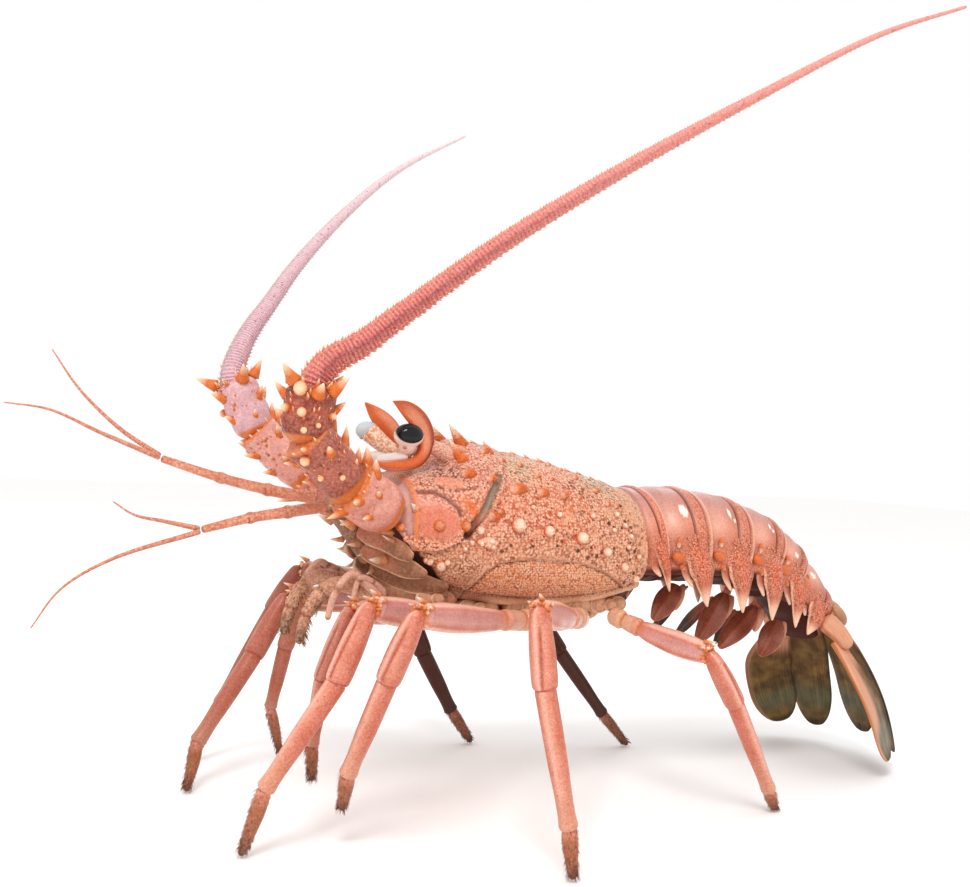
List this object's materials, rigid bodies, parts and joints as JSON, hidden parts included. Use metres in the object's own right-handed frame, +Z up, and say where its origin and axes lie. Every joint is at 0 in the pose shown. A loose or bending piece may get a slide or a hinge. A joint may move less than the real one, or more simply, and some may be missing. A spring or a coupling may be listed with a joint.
{
  "type": "raw spiny lobster",
  "caption": "Whole raw spiny lobster standing on its walking legs, with long thorny antennae laid back over it and the tail curled down behind to a leafy fan.",
  "frame": {"origin": "on the floor, under the middle of the part's bounding box", "axes": "+X along the body towards the tail, so the head points along -X; +Z up; -Y is the animal's left side"},
  "size_m": [0.4438, 0.2948, 0.3795],
  "materials": {
    "shell": "salmon and orange-tan shell with brown pits and cream grains, slightly damp",
    "tail_shell": "smooth pink-salmon shell with a soft wet shine",
    "breast_shell": "pale tan shell",
    "antenna_shell": "pink-red ringed shell",
    "limb_shell": "smooth salmon-pink shell",
    "fan_skin": "olive-brown horny skin, ribbed along its length",
    "eye": "glossy black"
  },
  "bodies": {
    "root": {"carapace": "shell", "thorax": "breast_shell", "face_plate": "shell", "eye_left": "eye", "antenna_base_left": "antenna_shell", "antenna_middle_left": "antenna_shell", "antenna_top_left": "antenna_shell", "antenna_whip_left": "antenna_shell", "antennule_stem_left": "limb_shell", "antennule_outer_left": "limb_shell", "antennule_inner_left": "limb_shell", "maxilliped_left": "limb_shell", "eye_right": "eye", "antenna_base_right": "antenna_shell", "antenna_middle_right": "antenna_shell", "antenna_top_right": "antenna_shell", "antenna_whip_right": "antenna_shell", "antennule_stem_right": "limb_shell", "antennule_outer_right": "limb_shell", "antennule_inner_right": "limb_shell", "maxilliped_right": "limb_shell", "tail_ring_1": "tail_shell", "tail_ring_2": "tail_shell", "tail_ring_3": "tail_shell", "tail_ring_4": "tail_shell", "tail_ring_5": "tail_shell", "tail_ring_6": "tail_shell", "swimmeret_1_left": "tail_shell", "swimmeret_1_right": "tail_shell", "swimmeret_2_left": "tail_shell", "swimmeret_2_right": "tail_shell", "swimmeret_3_left": "tail_shell", "swimmeret_3_right": "tail_shell", "swimmeret_4_left": "tail_shell", "swimmeret_4_right": "tail_shell", "telson": "fan_skin", "uropod_inner_left": "fan_skin", "uropod_outer_left": "fan_skin", "uropod_inner_right": "fan_skin", "uropod_outer_right": "fan_skin", "leg_1_upper_left": "limb_shell", "leg_1_lower_left": "limb_shell", "leg_1_upper_right": "limb_shell", "leg_1_lower_right": "limb_shell", "leg_2_upper_left": "limb_shell", "leg_2_lower_left": "limb_shell", "leg_2_upper_right": "limb_shell", "leg_2_lower_right": "limb_shell", "leg_3_upper_left": "limb_shell", "leg_3_lower_left": "limb_shell", "leg_3_upper_right": "limb_shell", "leg_3_lower_right": "limb_shell", "leg_4_upper_left": "limb_shell", "leg_4_lower_left": "limb_shell", "leg_4_upper_right": "limb_shell", "leg_4_lower_right": "limb_shell", "leg_5_upper_left": "limb_shell", "leg_5_lower_left": "limb_shell", "leg_5_upper_right": "limb_shell", "leg_5_lower_right": "limb_shell"}
  },
  "joints": []
}
